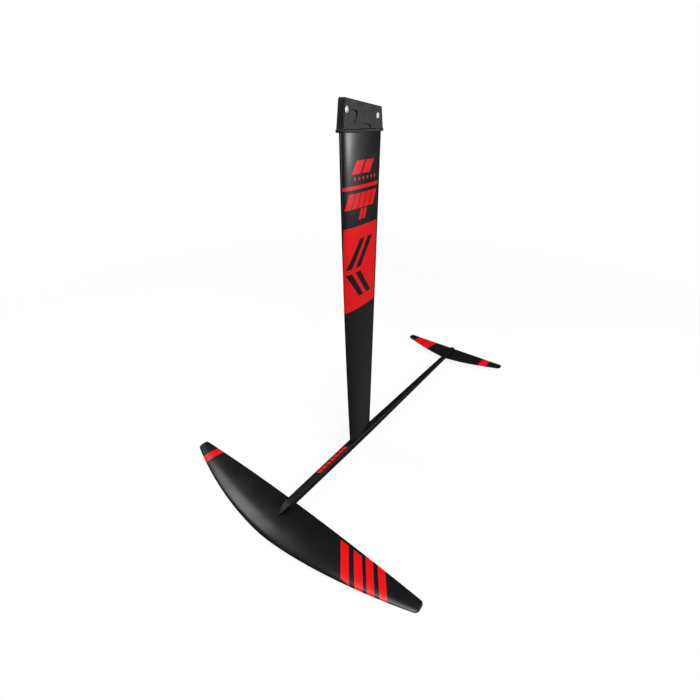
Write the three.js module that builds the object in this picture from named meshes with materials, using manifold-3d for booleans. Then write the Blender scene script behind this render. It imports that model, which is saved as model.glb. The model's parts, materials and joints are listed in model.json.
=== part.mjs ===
// Hydrofoil for a windsurf board: a carbon mast with a wedge head, an aluminium
// fuselage, a front wing and a stabiliser, with the fasteners that hold them together.
// Millimetres. +Z is up along the mast, -Y is the direction of travel, +X is to the left.
// While it is built, the origin is on the fuselage's axis under the middle of the mast's
// foot. The finished group is then moved so that it stands on z = 0.

import * as THREE from 'three';
import { mergeVertices } from 'three/addons/utils/BufferGeometryUtils.js';
import Module from 'manifold-3d';

const wasm = await Module();
wasm.setup();

// ---------------------------------------------------------------- driving dimensions

const GAP = 0.3;                    // between two pieces that meet
const CUT = 5;                      // how far a cutting tool runs past the surface it cuts

// mast
const MAST_LENGTH = 808.5;            // from the fuselage's top to the head's collar
const MAST_CHORD_TOP = 135;
const MAST_CHORD_FOOT = 98;
const MAST_TE_FOOT = 48.5;            // trailing edge behind the middle of the foot
const MAST_TE_TOP = 46;
const MAST_CHORD_EASE = 0.5;        // how early on the way up the chord grows
const MAST_THICK_TOP = 15.5;
const MAST_THICK_FOOT = 13;
const MAST_WALL = 2;
const MAST_NOSE_WALL = 5;           // solid laminate at the leading edge
const MAST_TAIL_WALL = 18;          // solid laminate at the trailing edge
const MAST_EDGE = 1.4;              // thickness of the trailing edge
const MAST_SOCKET = 10;             // how deep the foot sits in the fuselage
const FOOT_BLOCK_LENGTH = 55;

// head, a tapered wedge that the board's box takes
const HEAD_TENON = 45;              // length bonded into the top of the mast
const COLLAR_FRONT = -92.5;
const COLLAR_REAR = 45.7;
const COLLAR_WIDTH = 22;
const COLLAR_HEIGHT = 5;
const COLLAR_RADIUS = 9;
const HEAD_STEP = 3.2;              // shoulder between the collar's edge and the wedge
const HEAD_WIDTH = 18.4;
const HEAD_WIDTH_TOP = 17;
const HEAD_HEIGHT_FRONT = 51.4;
const HEAD_HEIGHT_REAR = 36.2;
const HEAD_END_TAPER = 5.8;           // how far the front and rear faces lean in
const HEAD_RADIUS = 4;

// barrel nuts across the head, and the board's bolts that screw into them
const NUT_RADIUS = 6;
const NUT_LENGTH = 16;
const NUT_HOLE_RADIUS = 3.4;
const NUT_FRONT = -76;
const NUT_REAR = 23;
const NUT_FRONT_DEPTH = 17.5;         // below the head's top face
const NUT_REAR_DEPTH = 16.5;
const BOLT_BORE_RADIUS = 4.3;
const BOLT_RUN_OUT = 6;             // bore below the nut's axis, for the bolt's end

// fuselage
const FUSE_NOSE = -346;             // point of the nose
const FUSE_NOSE_START = -304;       // where the nose begins to taper
const FUSE_FRONT_SIZE = 21;
const FUSE_MAST_WIDTH = 22.5;
const FUSE_MAST_HEIGHT = 23;
const FUSE_MAST_HALF = 62;          // half the length of the full section at the mast
const FUSE_TAIL_SIZE = 16;
const FUSE_TAIL_START = 566;
const FUSE_END = 668;
const FUSE_RADIUS = 5;
const FUSE_RADIUS_WIDTH_SHARE = 0.8;    // most of the half width that an edge may round
const FUSE_RADIUS_HEIGHT_SHARE = 0.4;
const NOSE_DROP = 12.5;             // how far the nose's top comes down to its point
const NOSE_PINCH = 0.92;             // share of the width that the nose loses
const TAIL_ROUND = 14;              // length over which the tail's end closes
const TAIL_TIP = 0.45;              // size of the tail's end, as a share of the tail

// front wing
const WING_SPAN = 765;
const WING_LE_ROOT = -402;
const WING_TE_ROOT = -285.5;
const WING_SWEEP = 85;              // leading edge, from the root to the tip
const WING_SWEEP_POWER = 1.7;
const WING_TE_SWEEP = -3;
const WING_DROOP = 14;              // tips below the root
const WING_THICK_ROOT = 0.12;       // shares of the chord
const WING_THICK_TIP = 0.095;
const WING_CAMBER = 0.025;
const WING_EDGE = 1.2;
const WING_TIP_RADIUS = 9;
const WING_SEAT = 3.5;              // chord line of the root below the fuselage's underside
const WING_SKIN = 1.8;
const WING_NOSE_WALL = 5;
const WING_TAIL_WALL = 26;
const WING_SOLID_TIP = 75;          // tip without a foam core
const WING_SOLID_ROOT = 22;         // half width of the solid laminate at the root
const WING_SOLID_FRONT = 8;         // solid laminate ahead of the fuselage's nose
const WING_PAD_WIDTH = 16;
const WING_PAD_SETBACK = 1;         // ahead of the trailing edge

// stabiliser
const STAB_SPAN = 410;
const STAB_LE_ROOT = 588;
const STAB_TE_ROOT = 677;
const STAB_SWEEP = 60;
const STAB_SWEEP_POWER = 1.5;
const STAB_THICK = 0.09;
const STAB_EDGE = 1.2;
const STAB_TIP_RADIUS = 9;
const STAB_SEAT = 2.2;              // chord line below the fuselage's underside
const STAB_PAD_WIDTH = 13;
const STAB_PAD_SETBACK = 14;        // behind the leading edge

// fasteners, M6 countersunk
const SCREW_RADIUS = 3;
const SCREW_HEAD_RADIUS = 5.8;
const SCREW_HEAD_HEIGHT = 3;
const SCREW_SOCKET_RADIUS = 2.3;    // across the corners of the hexagon, halved
const SCREW_SOCKET_DEPTH = 2.2;
const MAST_SCREW_LENGTH = 32;
const MAST_SCREW_SPOTS = [-33, -5];
const WING_SCREW_LENGTH = 16;
const WING_SCREW_SPOTS = [-320, -299];
const STAB_SCREW_LENGTH = 14;
const STAB_SCREW_SPOTS = [615, 639];
const INSERT_RADIUS = 4.2;
const INSERT_LENGTH = 8;
const SCREW_RUN_OUT = 1;            // drilled beyond a screw's end

// fineness
const AEROFOIL_STEPS = 10;          // along the chord, on each side
const MAST_STEP = 90;               // between rings up the mast
const WING_STEPS = 9;               // along each half span
const CORE_STEPS = 8;
const STAB_STEPS = 7;
const TIP_STEPS = 4;
const TIP_END = 0.985;              // share of the tip's round that is modelled
const NOSE_STEPS = 6;
const TAIL_STEPS = 4;
const CORNER_STEPS = 4;
const ROUND_STEPS = 24;

// ---------------------------------------------------------------- finishes

function finish(colour, roughness, metalness) {
  return new THREE.MeshStandardMaterial({ color: colour, roughness, metalness });
}

const carbon = finish(0x151617, 0.42, 0);
const moulded = finish(0x1f2021, 0.6, 0);
const anodised = finish(0x101112, 0.38, 0.7);
const foam = finish(0xd9cfae, 0.9, 0);
const aluminium = finish(0xb4b7ba, 0.4, 1);
const steel = finish(0xc9cccf, 0.3, 1);

// ---------------------------------------------------------------- solids

// A closed skin through rings of equal point counts, with flat ends.
function loft(rings) {
  const count = rings[0].length;
  const points = rings.flat();
  const index = [];
  for (let r = 0; r < rings.length - 1; r += 1) {
    for (let i = 0; i < count; i += 1) {
      const a = r * count + i;
      const b = r * count + (i + 1) % count;
      index.push(a, b, a + count, b, b + count, a + count);
    }
  }
  const last = (rings.length - 1) * count;
  for (const [a, b, c] of capFaces(rings[0])) {
    index.push(c, b, a);
  }
  for (const [a, b, c] of capFaces(rings[rings.length - 1])) {
    index.push(last + a, last + b, last + c);
  }
  const geometry = new THREE.BufferGeometry().setFromPoints(points);
  geometry.setIndex(index);
  return solid(geometry);
}

// The triangles that close a flat ring, turned the same way as the ring.
function capFaces(ring) {
  const normal = new THREE.Vector3();
  for (let i = 1; i < ring.length - 1; i += 1) {
    const side = ring[i].clone().sub(ring[0]);
    normal.add(side.cross(ring[i + 1].clone().sub(ring[0])));
  }
  normal.normalize();
  const turn = new THREE.Quaternion().setFromUnitVectors(normal, new THREE.Vector3(0, 0, 1));
  const flat = ring.map((p) => {
    const q = p.clone().applyQuaternion(turn);
    return new THREE.Vector2(q.x, q.y);
  });
  return THREE.ShapeUtils.triangulateShape(flat, []);
}

// A manifold-3d solid from a closed three.js geometry.
function solid(geometry) {
  const bare = geometry.clone();
  bare.deleteAttribute('normal');
  bare.deleteAttribute('uv');
  const merged = mergeVertices(bare, 1e-4);
  const vertProperties = Float32Array.from(merged.attributes.position.array);
  const triVerts = Uint32Array.from(merged.index.array);
  if (signedVolume(vertProperties, triVerts) < 0) {
    triVerts.reverse();
  }
  return new wasm.Manifold(new wasm.Mesh({ numProp: 3, vertProperties, triVerts }));
}

function signedVolume(positions, triangles) {
  const [a, b, c] = [new THREE.Vector3(), new THREE.Vector3(), new THREE.Vector3()];
  let volume = 0;
  for (let i = 0; i < triangles.length; i += 3) {
    a.fromArray(positions, triangles[i] * 3);
    b.fromArray(positions, triangles[i + 1] * 3);
    c.fromArray(positions, triangles[i + 2] * 3);
    volume += a.dot(b.cross(c)) / 6;
  }
  return volume;
}

function named(name, shape, material) {
  const result = shape.getMesh();
  const geometry = new THREE.BufferGeometry();
  geometry.setAttribute('position', new THREE.BufferAttribute(result.vertProperties, 3));
  geometry.setIndex(new THREE.BufferAttribute(result.triVerts, 1));
  geometry.computeVertexNormals();
  const mesh = new THREE.Mesh(geometry, material);
  mesh.name = name;
  return mesh;
}

function box(x, y, z, centre) {
  return solid(new THREE.BoxGeometry(x, y, z).translate(...centre));
}

// A body turned about a vertical axis, from [radius, height] pairs that start and end on it.
function turned(profile, y, z) {
  const points = profile.map(([radius, height]) => new THREE.Vector2(radius, height));
  const geometry = new THREE.LatheGeometry(points, ROUND_STEPS);
  return solid(geometry.rotateX(Math.PI / 2).translate(0, y, z));
}

function upright(radius, low, high, y) {
  return turned([[0, 0], [radius, 0], [radius, high - low], [0, high - low]], y, low);
}

function across(radius, length, y, z) {
  const geometry = new THREE.CylinderGeometry(radius, radius, length, ROUND_STEPS);
  return solid(geometry.rotateZ(Math.PI / 2).translate(0, y, z));
}

// ---------------------------------------------------------------- outlines

function mix(a, b, share) {
  return a + (b - a) * share;
}

// Half the thickness of a four-digit aerofoil of unit thickness, at a share of its chord.
function aerofoilHalf(share) {
  const s = Math.max(share, 0);
  return 5 * (0.2969 * Math.sqrt(s) - 0.126 * s - 0.3516 * s ** 2 + 0.2843 * s ** 3
    - 0.1036 * s ** 4);
}

// The same aerofoil's camber line, of unit camber with its top at 40% of the chord.
function camberLine(share) {
  const top = 0.4;
  if (share < top) {
    return (2 * top * share - share ** 2) / top ** 2;
  }
  return (1 - 2 * top + 2 * top * share - share ** 2) / (1 - top) ** 2;
}

// A section of a blade or wing: where its leading and trailing edges are and how thick it is.
// It gives the height of the middle line and half the thickness at any place along the chord.
function section({ le, te, thick, camber = 0, edge, lift = 0 }) {
  const chord = te - le;
  const middle = (y) => lift + camber * chord * camberLine((y - le) / chord);
  const half = (y) => {
    const share = (y - le) / chord;
    return thick * aerofoilHalf(share) + edge / 2 * share;
  };
  return { le, te, middle, half };
}

const NO_INSET = { front: 0, rear: 0, face: 0 };

// The closed outline of a section, shrunk by an inset at its front, its rear and its faces.
function outline(part, inset = NO_INSET) {
  const le = part.le + inset.front;
  const te = part.te - inset.rear;
  const least = inset.face > 0 ? GAP : 0;
  const top = [];
  const bottom = [];
  for (let i = 0; i <= AEROFOIL_STEPS; i += 1) {
    const share = (1 + Math.cos(Math.PI * i / AEROFOIL_STEPS)) / 2;
    const y = mix(le, te, share);
    const half = Math.max(part.half(y) - inset.face, least);
    top.push([y, part.middle(y) + half]);
    bottom.unshift([y, part.middle(y) - half]);
  }
  if (inset.face === 0) {
    bottom.shift();
  }
  return [...top, ...bottom];
}

function grow(inset, amount) {
  return { front: inset.front + amount, rear: inset.rear + amount, face: inset.face + amount };
}

// Corner points of a rounded rectangle around the origin's axis, in two directions u and v.
function roundedRectangle(u0, u1, v0, v1, radius) {
  const corners = [[u1, v1, 0], [u0, v1, 1], [u0, v0, 2], [u1, v0, 3]];
  const points = [];
  for (const [u, v, turn] of corners) {
    const cu = u - Math.sign(u - (u0 + u1) / 2) * radius;
    const cv = v - Math.sign(v - (v0 + v1) / 2) * radius;
    for (let i = 0; i <= CORNER_STEPS; i += 1) {
      const angle = Math.PI / 2 * (turn + i / CORNER_STEPS);
      points.push([cu + radius * Math.cos(angle), cv + radius * Math.sin(angle)]);
    }
  }
  return points;
}

// ---------------------------------------------------------------- mast

const fuseTop = FUSE_MAST_HEIGHT / 2;
const mastFoot = fuseTop - MAST_SOCKET;
const mastTop = fuseTop + MAST_LENGTH;

function mastSection(z) {
  const share = (z - fuseTop) / MAST_LENGTH;
  const eased = (1 + MAST_CHORD_EASE) * share - MAST_CHORD_EASE * share ** 2;
  const te = mix(MAST_TE_FOOT, MAST_TE_TOP, share);
  const le = te - mix(MAST_CHORD_FOOT, MAST_CHORD_TOP, eased);
  return section({ le, te, thick: mix(MAST_THICK_FOOT, MAST_THICK_TOP, share), edge: MAST_EDGE });
}

// A length of the mast's section between two heights, shrunk by an inset.
function mastLength(low, high, inset) {
  const steps = Math.max(1, Math.round((high - low) / MAST_STEP));
  const rings = [];
  for (let i = 0; i <= steps; i += 1) {
    const z = mix(low, high, i / steps);
    rings.push(outline(mastSection(z), inset).map(([y, x]) => new THREE.Vector3(x, y, z)));
  }
  return loft(rings);
}

const mastHollow = { front: MAST_NOSE_WALL, rear: MAST_TAIL_WALL, face: MAST_WALL };
const mastFilling = grow(mastHollow, GAP);

function mastShell() {
  const outside = mastLength(mastFoot + GAP, mastTop - GAP, NO_INSET);
  const shell = outside.subtract(mastLength(mastFoot - CUT, mastTop + CUT, mastHollow));
  return shell.subtract(mastScrewHoles());
}

function mastFootBlock() {
  const block = mastLength(mastFoot + GAP, mastFoot + FOOT_BLOCK_LENGTH, mastFilling);
  return block.subtract(mastScrewHoles());
}

// The holes drilled up into the mast's foot.
function mastScrewHoles() {
  const tip = -fuseTop + MAST_SCREW_LENGTH + SCREW_RUN_OUT;
  const [front, rear] = MAST_SCREW_SPOTS.map((y) => (
    upright(SCREW_RADIUS + GAP, mastFoot - CUT, tip, y)
  ));
  return front.add(rear);
}

function mastCore() {
  const low = mastFoot + FOOT_BLOCK_LENGTH + GAP;
  return mastLength(low, mastTop - HEAD_TENON - GAP, mastFilling);
}

// ---------------------------------------------------------------- head

const collarTop = mastTop + COLLAR_HEIGHT;

function headTopAt(y) {
  const share = (y - COLLAR_FRONT) / (COLLAR_REAR - COLLAR_FRONT);
  return collarTop + mix(HEAD_HEIGHT_FRONT, HEAD_HEIGHT_REAR, share);
}

const nutSpots = [
  { y: NUT_FRONT, z: headTopAt(NUT_FRONT) - NUT_FRONT_DEPTH },
  { y: NUT_REAR, z: headTopAt(NUT_REAR) - NUT_REAR_DEPTH },
];

function headRing(front, rear, width, radius, heightAt) {
  const points = roundedRectangle(-width / 2, width / 2, front, rear, radius);
  return points.map(([x, y]) => new THREE.Vector3(x, y, heightAt(y)));
}

function mastHead() {
  const tenon = mastLength(mastTop - HEAD_TENON, mastTop + COLLAR_HEIGHT / 2, mastFilling);
  const collarRing = (z) => headRing(COLLAR_FRONT, COLLAR_REAR, COLLAR_WIDTH, COLLAR_RADIUS, () => z);
  const collar = loft([collarRing(mastTop), collarRing(collarTop)]);
  const front = COLLAR_FRONT + HEAD_STEP;
  const rear = COLLAR_REAR - HEAD_STEP;
  const base = headRing(front, rear, HEAD_WIDTH, HEAD_RADIUS, () => collarTop - 1);
  const top = headRing(
    front + HEAD_END_TAPER,
    rear - HEAD_END_TAPER,
    HEAD_WIDTH_TOP,
    HEAD_RADIUS,
    headTopAt,
  );
  let head = tenon.add(collar).add(loft([base, top]));
  for (const { y, z } of nutSpots) {
    head = head.subtract(across(NUT_RADIUS + GAP, COLLAR_WIDTH + CUT, y, z));
    const low = z - NUT_RADIUS - BOLT_RUN_OUT;
    head = head.subtract(upright(BOLT_BORE_RADIUS, low, headTopAt(y) + CUT, y));
  }
  return head;
}

function barrelNut({ y, z }) {
  const barrel = across(NUT_RADIUS, NUT_LENGTH, y, z);
  return barrel.subtract(upright(NUT_HOLE_RADIUS, z - NUT_RADIUS - CUT, z + NUT_RADIUS + CUT, y));
}

// ---------------------------------------------------------------- fasteners

// A countersunk screw that goes up from a flush head at z.
function screw(length, y, z) {
  const profile = [
    [0, 0],
    [SCREW_HEAD_RADIUS, 0],
    [SCREW_RADIUS, SCREW_HEAD_HEIGHT],
    [SCREW_RADIUS, length - 1],
    [SCREW_RADIUS - 1, length],
    [0, length],
  ];
  const hexagon = new THREE.CylinderGeometry(
    SCREW_SOCKET_RADIUS,
    SCREW_SOCKET_RADIUS,
    2 * SCREW_SOCKET_DEPTH,
    6,
  );
  return turned(profile, y, z).subtract(solid(hexagon.rotateX(Math.PI / 2).translate(0, y, z)));
}

// The hole for such a screw, from below its head to a given height.
function screwHole(y, z, high) {
  const clear = SCREW_RADIUS + GAP;
  const wide = SCREW_HEAD_RADIUS + GAP;
  const profile = [
    [0, -CUT],
    [wide, -CUT],
    [wide, GAP],
    [clear, SCREW_HEAD_HEIGHT + GAP],
    [clear, high - z],
    [0, high - z],
  ];
  return turned(profile, y, z);
}

// A threaded insert pressed up into the fuselage from its underside.
function insert(y, z) {
  const bore = SCREW_RADIUS + GAP;
  const tube = upright(INSERT_RADIUS, z + GAP, z + GAP + INSERT_LENGTH, y);
  return tube.subtract(upright(bore, z - CUT, z + INSERT_LENGTH + CUT, y));
}

// ---------------------------------------------------------------- fuselage

const noseUnder = -FUSE_FRONT_SIZE / 2;
const tailUnder = -FUSE_TAIL_SIZE / 2;

// Half width, underside and top of the fuselage at a place along it.
function fuselageSize(y) {
  if (y < FUSE_NOSE_START) {
    const share = (FUSE_NOSE_START - y) / (FUSE_NOSE_START - FUSE_NOSE);
    const half = FUSE_FRONT_SIZE / 2 * (1 - NOSE_PINCH * share ** 2);
    return { half, low: noseUnder, high: FUSE_FRONT_SIZE / 2 - NOSE_DROP * share ** 2 };
  }
  if (y > FUSE_TAIL_START) {
    const share = Math.max(0, (y - FUSE_END + TAIL_ROUND) / TAIL_ROUND);
    const size = FUSE_TAIL_SIZE * (1 - (1 - TAIL_TIP) * share ** 2);
    return { half: size / 2, low: tailUnder, high: tailUnder + size };
  }
  const frontEnd = WING_TE_ROOT;
  let share = 1;
  let end = FUSE_FRONT_SIZE;
  if (y < -FUSE_MAST_HALF) {
    share = Math.max(0, (y - frontEnd) / (-FUSE_MAST_HALF - frontEnd));
  } else if (y > FUSE_MAST_HALF) {
    share = (FUSE_TAIL_START - y) / (FUSE_TAIL_START - FUSE_MAST_HALF);
    end = FUSE_TAIL_SIZE;
  }
  const high = mix(end, FUSE_MAST_HEIGHT, share) / 2;
  return { half: mix(end, FUSE_MAST_WIDTH, share) / 2, low: -high, high };
}

// The fuselage's outer shape, or with a clearance, the space it takes in another piece.
function fuselageBody(clearance) {
  const stops = [FUSE_NOSE - clearance];
  for (let i = 0; i <= NOSE_STEPS; i += 1) {
    stops.push(mix(FUSE_NOSE, FUSE_NOSE_START, i / NOSE_STEPS));
  }
  stops.push(WING_TE_ROOT, -FUSE_MAST_HALF, FUSE_MAST_HALF, FUSE_TAIL_START);
  for (let i = 0; i <= TAIL_STEPS; i += 1) {
    stops.push(mix(FUSE_END - TAIL_ROUND, FUSE_END, i / TAIL_STEPS));
  }
  stops.push(FUSE_END + clearance);
  const places = stops.filter((y, i) => i === 0 || y - stops[i - 1] > 1e-3);
  const rings = places.map((y) => {
    const place = Math.min(Math.max(y, FUSE_NOSE), FUSE_END);
    const { half, low, high } = fuselageSize(place);
    const radius = Math.min(
      FUSE_RADIUS,
      FUSE_RADIUS_WIDTH_SHARE * half,
      FUSE_RADIUS_HEIGHT_SHARE * (high - low),
    );
    const points = roundedRectangle(
      -half - clearance,
      half + clearance,
      low - clearance,
      high + clearance,
      radius,
    );
    return points.map(([x, z]) => new THREE.Vector3(x, y, z));
  });
  return loft(rings);
}

function fuselage() {
  let body = fuselageBody(0).subtract(mastSocket());
  for (const y of MAST_SCREW_SPOTS) {
    body = body.subtract(screwHole(y, -fuseTop, mastFoot + CUT));
  }
  for (const y of WING_SCREW_SPOTS) {
    body = body.subtract(insertHole(y, noseUnder, wingUnderAt(y) + WING_SCREW_LENGTH));
  }
  for (const y of STAB_SCREW_SPOTS) {
    body = body.subtract(insertHole(y, tailUnder, stabUnderAt(y) + STAB_SCREW_LENGTH));
  }
  return body;
}

// The hole for an insert, and above it the drilled hole that the screw's end runs into.
function insertHole(y, under, screwTip) {
  const wide = upright(INSERT_RADIUS + GAP, under - CUT, under + INSERT_LENGTH + 2 * GAP, y);
  return wide.add(upright(SCREW_RADIUS + GAP, under - CUT, screwTip + SCREW_RUN_OUT, y));
}

// The pocket that takes the mast's foot: its section with a clearance all round.
function mastSocket() {
  const rings = [mastFoot, fuseTop + CUT].map((z) => {
    const part = mastSection(z);
    const middle = (part.le + part.te) / 2;
    return outline(part).map(([y, x]) => (
      new THREE.Vector3(x + Math.sign(x) * GAP, y + Math.sign(y - middle) * GAP, z)
    ));
  });
  return loft(rings);
}

// ---------------------------------------------------------------- wings

// How far a wing's edges come in near its tip, for a tip corner of a given radius.
function tipInset(x, halfSpan, radius) {
  const past = Math.max(0, Math.abs(x) - (halfSpan - radius));
  return radius - Math.sqrt(Math.max(0, radius ** 2 - past ** 2));
}

// Places along a half span, closer together where the tip is rounded.
function spanStops(halfSpan, radius, steps) {
  const stops = evenStops(halfSpan - radius, steps);
  for (let i = 1; i <= TIP_STEPS; i += 1) {
    stops.push(halfSpan - radius + TIP_END * radius * Math.sin(Math.PI / 2 * i / TIP_STEPS));
  }
  return stops;
}

function evenStops(length, steps) {
  return Array.from({ length: steps + 1 }, (_, i) => length * i / steps);
}

function bothSides(stops) {
  return [...stops.slice(1).reverse().map((x) => -x), ...stops];
}

const wingHalf = WING_SPAN / 2;
const wingLift = noseUnder - WING_SEAT;
const wingStops = spanStops(wingHalf, WING_TIP_RADIUS, WING_STEPS);

function wingSection(x) {
  const share = Math.abs(x) / wingHalf;
  const inset = tipInset(x, wingHalf, WING_TIP_RADIUS);
  const le = WING_LE_ROOT + WING_SWEEP * share ** WING_SWEEP_POWER + inset;
  const te = WING_TE_ROOT + WING_TE_SWEEP * share ** 2 - inset;
  const thick = (te - le) * mix(WING_THICK_ROOT, WING_THICK_TIP, share);
  const lift = wingLift - WING_DROOP * share ** 2;
  return section({ le, te, thick, camber: WING_CAMBER, edge: WING_EDGE, lift });
}

// A loft of the wing between the tips, or of a shrunk copy that ends short of them.
function wingBody(stops, inset) {
  const rings = stops.map((x) => {
    const points = outline(wingSection(x), inset);
    return points.map(([y, z]) => new THREE.Vector3(x, y, z));
  });
  return loft(rings);
}

// Everything above the wing's middle surface, or below it, out to a given height.
function wingHalfSpace(side) {
  const reach = WING_TE_ROOT - WING_LE_ROOT;
  const rings = bothSides([...wingStops, wingHalf + CUT]).map((x) => {
    const part = wingSection(Math.min(Math.max(x, -wingHalf), wingHalf));
    const line = [];
    for (let i = 0; i <= AEROFOIL_STEPS; i += 1) {
      const share = (1 + Math.cos(Math.PI * i / AEROFOIL_STEPS)) / 2;
      const y = mix(part.le, part.te, share);
      line.push([y, part.middle(y) + side * GAP / 2]);
    }
    const [rearY, rearZ] = line[0];
    const [frontY, frontZ] = line[line.length - 1];
    const far = [[frontY - reach, frontZ], [frontY - reach, frontZ + side * reach],
      [rearY + reach, rearZ + side * reach], [rearY + reach, rearZ]];
    return [...line, ...far].map(([y, z]) => new THREE.Vector3(x, y, z));
  });
  return loft(rings);
}

const wingHollow = { front: WING_NOSE_WALL, rear: WING_TAIL_WALL, face: WING_SKIN };

// The core's space leaves solid laminate round the joint with the fuselage.
function wingCoreSpace(clearance) {
  const stops = evenStops(wingHalf - WING_SOLID_TIP - clearance, CORE_STEPS);
  const space = wingBody(bothSides(stops), grow(wingHollow, clearance));
  const front = FUSE_NOSE - WING_SOLID_FRONT - clearance;
  const rear = WING_TE_ROOT + CUT;
  const width = 2 * (WING_SOLID_ROOT + clearance);
  const height = WING_TE_ROOT - WING_LE_ROOT;
  const middle = [0, (front + rear) / 2, wingLift];
  return space.subtract(box(width, rear - front, height, middle));
}

function wingPad() {
  const front = FUSE_NOSE_START;
  const rear = WING_TE_ROOT - WING_PAD_SETBACK;
  const root = wingSection(0);
  const high = noseUnder - GAP;
  const low = root.middle(rear);
  return box(WING_PAD_WIDTH, rear - front, high - low, [0, (front + rear) / 2, (high + low) / 2]);
}

function wingUnderAt(y) {
  const root = wingSection(0);
  return root.middle(y) - root.half(y);
}

function drilled(wing) {
  let piece = wing;
  for (const y of WING_SCREW_SPOTS) {
    piece = piece.subtract(screwHole(y, wingUnderAt(y), noseUnder + CUT));
  }
  return piece;
}

function frontWingTopSkin(shell) {
  return drilled(shell.intersect(wingHalfSpace(1)).subtract(fuselageBody(GAP)));
}

function frontWingBottomSkin(shell) {
  return drilled(shell.intersect(wingHalfSpace(-1)).subtract(fuselageBody(GAP)));
}

const stabHalf = STAB_SPAN / 2;
const stabLift = tailUnder - STAB_SEAT;

function stabSection(x) {
  const share = Math.abs(x) / stabHalf;
  const inset = tipInset(x, stabHalf, STAB_TIP_RADIUS);
  const le = STAB_LE_ROOT + STAB_SWEEP * share ** STAB_SWEEP_POWER + inset;
  const te = STAB_TE_ROOT - inset;
  return section({ le, te, thick: (te - le) * STAB_THICK, edge: STAB_EDGE, lift: stabLift });
}

function stabiliser() {
  const rings = bothSides(spanStops(stabHalf, STAB_TIP_RADIUS, STAB_STEPS)).map((x) => (
    outline(stabSection(x)).map(([y, z]) => new THREE.Vector3(x, y, z))
  ));
  const front = STAB_LE_ROOT + STAB_PAD_SETBACK;
  const rear = FUSE_END - TAIL_ROUND;
  const high = tailUnder - GAP;
  const pad = box(STAB_PAD_WIDTH, rear - front, high - stabLift, [
    0, (front + rear) / 2, (high + stabLift) / 2]);
  let wing = loft(rings).add(pad).subtract(fuselageBody(GAP));
  for (const y of STAB_SCREW_SPOTS) {
    wing = wing.subtract(screwHole(y, stabUnderAt(y), tailUnder + CUT));
  }
  return wing;
}

function stabUnderAt(y) {
  const root = stabSection(0);
  return root.middle(y) - root.half(y);
}

// ---------------------------------------------------------------- assembly

const foil = new THREE.Group();

foil.add(named('mast_shell', mastShell(), carbon.clone()));
foil.add(named('mast_core', mastCore(), foam.clone()));
foil.add(named('mast_foot_block', mastFootBlock(), aluminium.clone()));
foil.add(named('mast_head', mastHead(), moulded.clone()));
foil.add(named('fuselage', fuselage(), anodised.clone()));

const wingWhole = wingBody(bothSides(wingStops), NO_INSET).add(wingPad());
const wingShell = wingWhole.subtract(wingCoreSpace(0));
foil.add(named('front_wing_top_skin', frontWingTopSkin(wingShell), carbon.clone()));
foil.add(named('front_wing_bottom_skin', frontWingBottomSkin(wingShell), carbon.clone()));
foil.add(named('front_wing_core', wingCoreSpace(GAP), foam.clone()));
foil.add(named('stabilizer', stabiliser(), carbon.clone()));

const places = ['front', 'rear'];
places.forEach((place, i) => {
  const mastY = MAST_SCREW_SPOTS[i];
  const wingY = WING_SCREW_SPOTS[i];
  const stabY = STAB_SCREW_SPOTS[i];
  const mastScrew = screw(MAST_SCREW_LENGTH, mastY, -fuseTop);
  const wingScrew = screw(WING_SCREW_LENGTH, wingY, wingUnderAt(wingY));
  const stabScrew = screw(STAB_SCREW_LENGTH, stabY, stabUnderAt(stabY));
  foil.add(named(`barrel_nut_${place}`, barrelNut(nutSpots[i]), steel.clone()));
  foil.add(named(`mast_screw_${place}`, mastScrew, steel.clone()));
  foil.add(named(`wing_screw_${place}`, wingScrew, steel.clone()));
  foil.add(named(`wing_insert_${place}`, insert(wingY, noseUnder), steel.clone()));
  foil.add(named(`stabilizer_screw_${place}`, stabScrew, steel.clone()));
  foil.add(named(`stabilizer_insert_${place}`, insert(stabY, tailUnder), steel.clone()));
});

// The finished foil stands on z = 0, over the middle of the ground that it covers.
const extent = new THREE.Box3().setFromObject(foil);
const centre = extent.getCenter(new THREE.Vector3());
foil.position.set(-centre.x, -centre.y, -extent.min.z);
foil.updateMatrixWorld(true);

export default foil;
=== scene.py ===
# %% [markdown]
# # A hydrofoil for a board
#
# A hydrofoil carries a board above the water. A tall mast hangs under the board. A slim fuselage
# crosses its foot, with a swept front wing that lifts and a small stabiliser that steadies.
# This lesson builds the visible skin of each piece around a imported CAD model. The CAD model
# settles every place and size, so the pieces made here only need finer surfaces and finishes.

# %% Load the frame
import json
import math

import bmesh
import bpy
from mathutils import Matrix, Vector


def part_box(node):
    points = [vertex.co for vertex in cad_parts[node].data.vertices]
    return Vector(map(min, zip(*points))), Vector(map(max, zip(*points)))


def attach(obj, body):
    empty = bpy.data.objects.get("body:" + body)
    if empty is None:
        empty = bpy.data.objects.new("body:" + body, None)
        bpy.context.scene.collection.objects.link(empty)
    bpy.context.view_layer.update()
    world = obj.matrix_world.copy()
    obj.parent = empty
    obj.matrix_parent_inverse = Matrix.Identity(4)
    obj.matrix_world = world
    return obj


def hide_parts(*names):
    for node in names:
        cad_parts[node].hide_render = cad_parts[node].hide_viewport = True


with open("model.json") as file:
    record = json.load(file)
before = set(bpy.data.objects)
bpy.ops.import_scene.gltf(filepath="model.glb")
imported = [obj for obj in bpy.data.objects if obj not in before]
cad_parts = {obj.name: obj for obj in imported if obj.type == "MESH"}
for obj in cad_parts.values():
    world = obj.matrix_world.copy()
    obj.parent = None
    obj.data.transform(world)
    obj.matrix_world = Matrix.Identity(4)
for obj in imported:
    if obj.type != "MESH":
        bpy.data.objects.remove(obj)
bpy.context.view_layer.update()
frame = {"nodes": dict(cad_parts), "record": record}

MM = 0.001

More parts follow.
